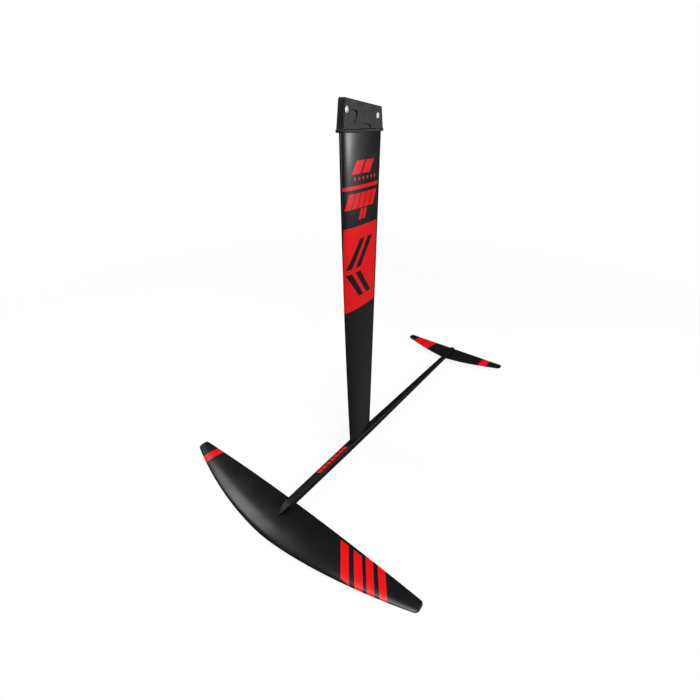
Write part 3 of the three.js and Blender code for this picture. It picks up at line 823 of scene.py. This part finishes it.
def screw(name, node_name):
    """A screw that points up from a flush head, with its threads cut to the tip."""
    foot, wide, length = stood(node_name)
    plain = SCREW_HEAD_HEIGHT + 1.5 * MM
    edge = 0.25 * MM
    outlines = [place_circle(0.4 * MM, SOCKET_DEPTH + 0.8 * MM, foot)]
    outlines += [hexagon_outline(foot, SOCKET_RADIUS, SOCKET_DEPTH),
                 hexagon_outline(foot, SOCKET_RADIUS, 2 * edge),
                 place_circle(SOCKET_RADIUS + edge, 0, foot)]
    outlines += [place_circle(wide - edge, 0, foot), place_circle(wide, edge, foot),
                 place_circle(wide, 2 * edge, foot),
                 place_circle(SCREW_RADIUS, SCREW_HEAD_HEIGHT, foot)]
    outlines += [place_circle(SCREW_RADIUS, plain, foot)]
    steps = round((length - plain - 1 * MM) / SCREW_PITCH * 6)
    for i in range(1, steps + 1):
        height = plain + i * SCREW_PITCH / 6
        depth = SCREW_THREAD * min(1, i / 6)
        outlines.append(thread_outline(foot, height, SCREW_RADIUS, depth, SCREW_PITCH))
    outlines += [place_circle(SCREW_RADIUS - SCREW_THREAD - 0.2 * MM, length - 0.4 * MM, foot),
                 place_circle(SCREW_RADIUS - 1 * MM, length, foot)]
    return loft(name, outlines, SCREW_POINTS)


def copied(piece, name, node_from, node_to):
    """A copy of a piece, with its own mesh, at the place of another node."""
    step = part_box(node_to)[0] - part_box(node_from)[0]
    twin = piece.copy()
    twin.data = piece.data.copy()
    twin.name = name
    twin.data.name = name
    bpy.context.scene.collection.objects.link(twin)
    twin.data.transform(Matrix.Translation(step))
    return twin


def steel_pair(first, second_name, nodes, axis):
    """Copies a turned piece to a second node. Each gets rings round its own node's middle."""
    second = copied(first, second_name, *nodes)
    for piece, node_name in zip((first, second), nodes):
        finish_piece(piece, node_name, turned_steel(piece.name, centre_of(node_name), axis))


for joint in ("mast", "wing", "stabilizer"):
    nodes = f"{joint}_screw_front", f"{joint}_screw_rear"
    steel_pair(screw(f"{joint}_bolt_front", nodes[0]), f"{joint}_bolt_rear", nodes, "Z")

# %% [markdown]
# The barrel nuts are short steel rods that lie across the head. The board's bolts screw into
# them from above. They turn in their bores, which lets each bolt find its own angle, and a slot
# in each end lets a screwdriver line up the thread.

# %% Barrel nuts
NUT_EDGE = 0.7 * MM
NUT_MINOR = 3.4 * MM
NUT_THREAD = 0.6 * MM
NUT_PITCH = 1.25 * MM
NUT_SLOT_DEPTH = 1.2 * MM
NUT_SLOT_WIDTH = 1.6 * MM


def barrel_nut(name, node_name):
    low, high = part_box(node_name)
    centre = (low + high) / 2
    radius, half = (high.z - low.z) / 2, (high.x - low.x) / 2
    profile = [(radius - NUT_EDGE, -half), (radius - NUT_EDGE / 3, -half + NUT_EDGE / 3),
               (radius, -half + NUT_EDGE), (radius, half - NUT_EDGE),
               (radius - NUT_EDGE / 3, half - NUT_EDGE / 3), (radius - NUT_EDGE, half)]
    piece = turned(name, profile, centre, "X", 64)
    steps = round((2 * radius + 2 * MM) / NUT_PITCH * 6)
    rings = [thread_outline(centre, i * NUT_PITCH / 6 - radius - 1 * MM, NUT_MINOR + NUT_THREAD,
                            NUT_THREAD, NUT_PITCH) for i in range(steps + 1)]
    cut(piece, loft("tap", rings, SCREW_POINTS))
    for side in (-1, 1):
        slot = block("slot", centre + Vector((side * half, 0, 0)),
                     (2 * NUT_SLOT_DEPTH, 3 * radius, NUT_SLOT_WIDTH))
        bpy.ops.object.mode_set(mode="OBJECT")
        cut(piece, slot)
    return piece


nodes = "barrel_nut_front", "barrel_nut_rear"
steel_pair(barrel_nut("barrel_nut_front_turned", nodes[0]), "barrel_nut_rear_turned", nodes, "X")

# %% [markdown]
# ## The fuselage
#
# The fuselage is one aluminium bar, a metre long. It is strongest under the mast and slimmer
# towards both ends. Its nose comes down to a narrow prow over the front wing, and its tail is
# rounded. A pocket in its top takes the foot of the mast, and screws come up from below.

# %% Fuselage outlines
BAR_NOSE_TO_MAST = 346 * MM
BAR_NOSE = 42 * MM
BAR_NOSE_DROP = 12.5 * MM
BAR_NOSE_PINCH = 0.92
BAR_FRONT = 21 * MM
BAR_FRONT_END = 60.5 * MM
BAR_MAST_HALF = 62 * MM
BAR_TAIL = 16 * MM
BAR_TAIL_START = 566 * MM
BAR_TAIL_ROUND = 14 * MM
BAR_TAIL_TIP = 0.45
BAR_RADIUS = 5 * MM
BAR_RADIUS_WIDTH_SHARE = 0.8
BAR_RADIUS_HEIGHT_SHARE = 0.4
BAR_END_EDGE = 0.6 * MM
bar_middle = (bar_low + bar_high) / 2
mast_middle_y = bar_low.y + BAR_NOSE_TO_MAST
nose_start = bar_low.y + BAR_NOSE
front_end = bar_low.y + BAR_FRONT_END
mast_start, mast_end = mast_middle_y - BAR_MAST_HALF, mast_middle_y + BAR_MAST_HALF
tail_start = mast_middle_y + BAR_TAIL_START
tail_round = bar_high.y - BAR_TAIL_ROUND


def bar_size(y):
    """Half width, underside and top of the bar, from its axis, at a place along it."""
    if y < nose_start:
        share = (nose_start - y) / BAR_NOSE
        half = BAR_FRONT / 2 * (1 - BAR_NOSE_PINCH * share**2)
        return half, -BAR_FRONT / 2, BAR_FRONT / 2 - BAR_NOSE_DROP * share**2
    if y > tail_start:
        share = max(0.0, (y - tail_round) / BAR_TAIL_ROUND)
        size = BAR_TAIL * (1 - (1 - BAR_TAIL_TIP) * share**2)
        return size / 2, -BAR_TAIL / 2, -BAR_TAIL / 2 + size
    share, end = 1.0, BAR_FRONT
    if y < mast_start:
        share = max(0.0, (y - front_end) / (mast_start - front_end))
    elif y > mast_end:
        share, end = (tail_start - y) / (tail_start - mast_end), BAR_TAIL
    high = mix(end, bar_high.z - bar_low.z, share) / 2
    return mix(end, bar_high.x - bar_low.x, share) / 2, -high, high


def bar_outline(y, grow=0.0, inset=0.0):
    half, low, high = bar_size(min(max(y, bar_low.y), bar_high.y))
    half, low, high = half + grow - inset, low - grow + inset, high + grow - inset
    radius = min(BAR_RADIUS, BAR_RADIUS_WIDTH_SHARE * half, BAR_RADIUS_HEIGHT_SHARE * (high - low))

    def point_at(i):
        x, z = rectangle_point(i, -half, half, low, high, radius)
        return Vector((x, y, bar_middle.z + z))
    return point_at


def bar_body(name, grow=0.0):
    stops = [bar_low.y + BAR_NOSE * (i / 20) ** 1.5 for i in range(21)]
    stops += [front_end, mix(front_end, mast_start, 0.5), mast_start]
    stops += [mix(mast_start, mast_end, i / 4) for i in range(1, 5)]
    stops += [mix(mast_end, tail_start, i / 8) for i in range(1, 9)]
    stops += [mix(tail_round, bar_high.y, math.sin(math.pi / 2 * i / 8)) for i in range(9)]
    outlines = [bar_outline(y, grow) for y in stops]
    if grow:
        outlines = [bar_outline(bar_low.y - grow, grow)] + outlines
        outlines += [bar_outline(bar_high.y + grow, grow)]
    else:
        outlines += [bar_outline(bar_high.y, 0, BAR_END_EDGE)]
    return loft(name, outlines, RECTANGLE_POINTS)


fuselage_bar = bar_body("fuselage_bar")

# %% Mast pocket and screw holes
SEAM = 0.2 * MM
rim = 0.5 * MM
pocket_steps = [(mast_low.z - GAP, SEAM), (foot_z - rim, SEAM), (foot_z, SEAM + rim),
                (foot_z + 4 * MM, SEAM + 3 * rim)]
cut(fuselage_bar, loft("pocket", [
    mast_outline(z, -grow, -grow, -grow) for z, grow in pocket_steps], 2 * MAST_STEPS))


HOLE_BELOW = 6 * MM


def screw_hole(node_name, clearance=0.25 * MM):
    """A cutter with the shape of a screw and a clearance, open below its head."""
    foot, radius, length = stood(node_name)
    wide, shank = radius + clearance, SCREW_RADIUS + clearance
    return turned("hole", [
        (wide, -HOLE_BELOW), (wide, clearance), (shank, SCREW_HEAD_HEIGHT + clearance),
        (shank, length + 1 * MM)], foot)


def insert_hole(node_name, clearance=0.1 * MM):
    """A cutter for a threaded insert, open below."""
    foot, radius, length = stood(node_name)
    wide = radius + clearance
    return turned("hole", [(wide, -HOLE_BELOW), (wide, length + clearance)], foot)


for place in ("front", "rear"):
    cut(fuselage_bar, screw_hole("mast_screw_" + place))
    for joint in ("wing", "stabilizer"):
        cut(fuselage_bar, screw_hole(f"{joint}_screw_{place}"))
        cut(fuselage_bar, insert_hole(f"{joint}_insert_{place}"))


def bar_paint(tree, place):
    middle = Vector((0, mast_middle_y - 131 * MM, bar_high.z))
    row = bars(tree, place, middle, ALONG * 122 * MM, ACROSS * 9 * MM, 0.05, 7, 0.8)
    top = bars(tree, place, Vector((0, middle.y, bar_high.z)), ALONG * 1.0, UP * 4 * MM)
    return node(tree, "Math", {0: row, 1: top}, operation="MULTIPLY"), None


finish_piece(fuselage_bar, "fuselage", anodised_aluminium(bar_paint), flats=True)

# %% [markdown]
# ## The front wing
#
# The front wing is 765 mm across. Its leading edge sweeps back more and more towards the tips,
# its trailing edge is nearly straight, and its tips hang 14 mm low. It is made like a clam: an
# upper and a lower carbon skin, glued along their edges, with foam between them. Each skin is
# lofted across the span, its outline running over the outside and back along the inside.

# %% Wing sizes
WING_SWEEP = 85 * MM
WING_SWEEP_POWER = 1.7
WING_TE_SWEEP = -3 * MM
WING_DROOP = 14 * MM
WING_THICK_ROOT = 0.12
WING_THICK_TIP = 0.095
WING_CAMBER = 0.025
WING_EDGE = 1.2 * MM
WING_TIP_RADIUS = 9 * MM
WING_SEAT = 3.5 * MM
WING_SKIN = 1.8 * MM
WING_NOSE_WALL = 5 * MM
WING_TAIL_WALL = 26 * MM
WING_SOLID_ROOT = 22 * MM
WING_ROOT_BOX = 354 * MM
WING_STEPS = 44
TIP_ROUND = 3.5 * MM
TIP_LEAST = 0.05
SPAN_STEP = 14 * MM
PARTING = 0.02 * MM
upper_low, upper_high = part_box("front_wing_top_skin")
core_low, core_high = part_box("front_wing_core")
wing_lift = bar_middle.z - BAR_FRONT / 2 - WING_SEAT


# %% Wing section along the span
def tip_inset(x, half_span, radius):
    """How far the edges come in near a tip, for a rounded corner."""
    past = min(max(0.0, abs(x) - (half_span - radius)), radius)
    return radius - math.sqrt(radius**2 - past**2)


def tip_close(x, half_span):
    """How much of the thickness is left near a tip, which is rounded over."""
    past = min(max(0.0, (abs(x) - (half_span - TIP_ROUND)) / TIP_ROUND), 1.0)
    return max(math.sqrt(max(0.0, 1 - past**2)), TIP_LEAST)


def planform(x, low, high, sweep, power, radius):
    """The share of the half span, both edges, and how much thickness is left, at a place."""
    share = abs(x) / high.x
    inset = tip_inset(x, high.x + 0.1 * MM, radius)
    return share, low.y + sweep * share**power + inset, high.y - inset, tip_close(x, high.x)


def wing_section(x):
    share, front, rear, close = planform(
        x, upper_low, upper_high, WING_SWEEP, WING_SWEEP_POWER, WING_TIP_RADIUS)
    rear += WING_TE_SWEEP * share**2
    thick = (rear - front) * mix(WING_THICK_ROOT, WING_THICK_TIP, share) * close
    lift = wing_lift - WING_DROOP * share**2
    return section(front, rear, thick, WING_EDGE * close, WING_CAMBER, lift)


def span_stops(half_span, radius, pairs=()):
    """Places across the whole span, closer at the tips, with pairs where the wall changes."""
    half = [i * SPAN_STEP for i in range(int((half_span - radius) / SPAN_STEP) + 1)]
    half += [half_span - radius + radius * math.sin(math.pi / 2 * i / 12) for i in range(1, 13)]
    half += list(pairs)
    half = sorted(half)
    return [-x for x in reversed(half[1:])] + half


wall_stops = [WING_SOLID_ROOT - 1.2 * MM, WING_SOLID_ROOT - 0.2 * MM,
              core_high.x + 0.3 * MM, core_high.x + 1.3 * MM]
wing_stops = span_stops(upper_high.x, WING_TIP_RADIUS, wall_stops)


def skin_outline(x, side):
    """One skin's closed outline: side is 1 for the upper skin and -1 for the lower."""
    front, rear, middle, half = wing_section(x)
    hollow_rear = rear - WING_TAIL_WALL + 4 * MM
    if abs(x) < WING_SOLID_ROOT - 0.5 * MM:
        hollow_rear = mast_middle_y - WING_ROOT_BOX + 4 * MM
    hollow = abs(x) < core_high.x + 0.8 * MM

    def point_at(i):
        share, outer = chord_share(i, WING_STEPS)
        y = mix(front, rear, share)
        height = half(y)
        if outer < 0:
            inside = hollow and front + WING_NOSE_WALL - 2 * MM < y < hollow_rear
            height = max(height - WING_SKIN, PARTING) if inside else min(PARTING, height)
        return Vector((x, y, middle(y) + side * height))
    return point_at


upper_skin = loft("front_wing_upper", [skin_outline(x, 1) for x in wing_stops], 2 * WING_STEPS)
lower_skin = loft("front_wing_lower", [skin_outline(x, -1) for x in wing_stops], 2 * WING_STEPS)

# %% [markdown]
# The fuselage's nose lies in a recess of the upper skin, and a small pad fills the wedge between
# the bar's flat underside and the wing's falling back. The pad starts as a cube, and its edges
# are bevelled before it is joined on.

# %% Pads, recess and holes
PAD_EDGE = 1.2 * MM


def pad(width, front, rear, low, high):
    piece = block("pad", Vector((0, (front + rear) / 2, (low + high) / 2)),
                  (width, rear - front, high - low))
    bpy.ops.mesh.bevel(offset=PAD_EDGE, segments=4, affect="EDGES")
    bpy.ops.object.mode_set(mode="OBJECT")
    bpy.ops.object.transform_apply(location=True, rotation=True, scale=True)
    return piece


WING_PAD = 16 * MM
root_front, root_rear, root_middle, root_half = wing_section(0)
wing_pad = pad(WING_PAD, nose_start, root_rear - 1 * MM, root_middle(root_rear),
               bar_middle.z - BAR_FRONT / 2 - 0.1 * MM)
cut(upper_skin, wing_pad, "UNION")
for skin in (upper_skin, lower_skin):
    cut(skin, bar_body("recess", SEAM))
    for place in ("front", "rear"):
        cut(skin, screw_hole("wing_screw_" + place))


def wing_place(x, y):
    return Vector((x * MM, root_rear + y * MM, 0))


def wing_paint(tree, place):
    """A band across the right tip, and a broad fan of leaning bars near the left one."""
    red = [
        bars(tree, place, wing_place(-313, -25), ACROSS * 28 * MM, ALONG * 120 * MM, 0.5),
        bars(tree, place, wing_place(219, -43), ACROSS * 62 * MM, ALONG * 70 * MM, -0.9, 2, 0.62),
        bars(tree, place, wing_place(281, -35), ACROSS * 54 * MM, ALONG * 120 * MM, -1.7, 2, 0.62),
    ]
    return joined(tree, red), None


finish_piece(upper_skin, "front_wing_top_skin", satin_carbon("upper wing skin", "XY", wing_paint))
finish_piece(lower_skin, "front_wing_bottom_skin", satin_carbon("lower wing skin", "XY"))

# %% [markdown]
# ## The stabiliser
#
# The stabiliser is a small flat wing under the tail, solid carbon all through. It is lofted like
# the front wing, but as one body, and the bar's tail lies in its back.

# %% Stabiliser
STAB_SWEEP = 60 * MM
STAB_SWEEP_POWER = 1.5
STAB_THICK = 0.09
STAB_EDGE = 1.2 * MM
STAB_TIP_RADIUS = 9 * MM
STAB_SEAT = 2.2 * MM
STAB_PAD = 13 * MM
STAB_PAD_FRONT = 14 * MM
tail_low, tail_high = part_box("stabilizer")


def stab_outline(x):
    _, front, rear, close = planform(
        x, tail_low, tail_high, STAB_SWEEP, STAB_SWEEP_POWER, STAB_TIP_RADIUS)
    lift = bar_middle.z - BAR_TAIL / 2 - STAB_SEAT
    _, _, middle, half = section(
        front, rear, (rear - front) * STAB_THICK * close, STAB_EDGE * close, 0.0, lift)

    def point_at(i):
        share, side = chord_share(i, WING_STEPS)
        y = mix(front, rear, share)
        return Vector((x, y, middle(y) + side * half(y)))
    return point_at


stab_stops = span_stops(tail_high.x, STAB_TIP_RADIUS)
stabiliser = loft("stabiliser_blade", [stab_outline(x) for x in stab_stops], 2 * WING_STEPS)
under_bar = bar_middle.z - BAR_TAIL / 2 - 0.1 * MM
cut(stabiliser, pad(STAB_PAD, tail_low.y + STAB_PAD_FRONT, tail_round,
                    under_bar - STAB_SEAT, under_bar), "UNION")
cut(stabiliser, bar_body("recess", SEAM))
for place in ("front", "rear"):
    cut(stabiliser, screw_hole("stabilizer_screw_" + place))


def stab_paint(tree, place):
    middle = Vector((0, (tail_low.y + tail_high.y) / 2, 0))
    red = [
        bars(tree, place, middle - ACROSS * 130 * MM, ACROSS * 84 * MM, ALONG * 120 * MM,
             0.25, 2, 0.9),
        bars(tree, place, middle + ACROSS * 142 * MM, ACROSS * 28 * MM, ALONG * 120 * MM, 0.1),
    ]
    return joined(tree, red), None


finish_piece(stabiliser, "stabilizer", satin_carbon("stabiliser", "XY", stab_paint))

# %% [markdown]
# ## What lies inside
#
# Foam cores, the aluminium block in the mast's foot and the steel inserts are right as the CAD
# model has them. They keep its shapes and only get their finishes.

# %% Inner pieces
foam = closed_cell_foam()
aluminium = milled_aluminium()
inner = {"mast_core": foam, "front_wing_core": foam, "mast_foot_block": aluminium}
for joint in ("wing", "stabilizer"):
    for place in ("front", "rear"):
        name = f"{joint}_insert_{place}"
        inner[name] = turned_steel(name, centre_of(name), "Z")
for name, material in inner.items():
    piece = frame["nodes"][name]
    piece.data.materials.clear()
    piece.data.materials.append(material)
print("inner pieces:", len(inner))

# %% [markdown]
# ## Floor and light
#
# The foil stands on a plain pale floor in a white studio. A solid white floor would throw so much
# light on black carbon that it turned grey. This floor is a thin veil over the white surround,
# so it only takes a faint shadow, and it fades out before its edge. One lamp hangs high overhead.
# A fill beside the camera shows the colours on the mast, and two lamps lay the soft sheens: one
# on the mast's leading edge, one on the front of the wing.

# %% Floor
FLOOR_RADIUS = 5.0
FLOOR_COVER = 0.1
FADE_START, FADE_END = 0.6, 2.6
bpy.ops.object.select_all(action="DESELECT")
bpy.ops.mesh.primitive_circle_add(vertices=96, radius=FLOOR_RADIUS, fill_type="NGON")
floor = bpy.context.object
floor.name = "floor"
material, tree, shader, place = new_material("pale studio floor")
reach = node(tree, "VectorMath", {0: place}, operation="LENGTH").outputs["Value"]
fade = node(
    tree, "MapRange",
    {0: reach, 1: FADE_START, 2: FADE_END, 3: FLOOR_COVER, 4: 0.0},
    interpolation_type="SMOOTHSTEP")
fill(tree, shader, {"Base Color": colour("#F4F4F4"), "Roughness": 0.9,
                    "Specular IOR Level": 0.1, "Alpha": fade})
floor.data.materials.append(material)

# %% World and lamps
SURROUND = 0.05
world = bpy.data.worlds.new("studio")
bpy.context.scene.world = world
world.use_nodes = True
tree = world.node_tree
tree.nodes.clear()
seen = node(tree, "Background", {0: (1, 1, 1, 1), 1: 1.0})
around = node(tree, "Background", {0: (1, 1, 1, 1), 1: SURROUND})
path = node(tree, "LightPath")
both = node(tree, "MixShader", {0: path.outputs["Is Camera Ray"], 1: around, 2: seen})
node(tree, "OutputWorld", {"Surface": both})


def soft_light(name, place, aim, width, height, power):
    """A rectangular lamp at a place, turned towards another."""
    lamp = bpy.data.lights.new(name, "AREA")
    lamp.shape = "RECTANGLE"
    lamp.size, lamp.size_y, lamp.energy = width, height, power
    holder = bpy.data.objects.new(name, lamp)
    bpy.context.scene.collection.objects.link(holder)
    turn = (Vector(aim) - Vector(place)).to_track_quat("-Z", "Y").to_matrix().to_4x4()
    holder.matrix_world = Matrix.Translation(Vector(place)) @ turn


soft_light("overhead", (1.6, -0.9, 4.6), (0, 0, 0.2), 2.2, 2.2, 155)
soft_light("fill", (1.85, -1.6, 0.95), (0, -0.2, 0.75), 0.4, 0.6, 24)
soft_light("wing_sheen", (-1.45, -0.5, 1.65), (-0.12, -0.45, 0), 1.1, 1.1, 26)
soft_light("mast_sheen", (1.58, 1.03, 0.87), (0, -0.2, 0.83), 0.35, 0.45, 20)
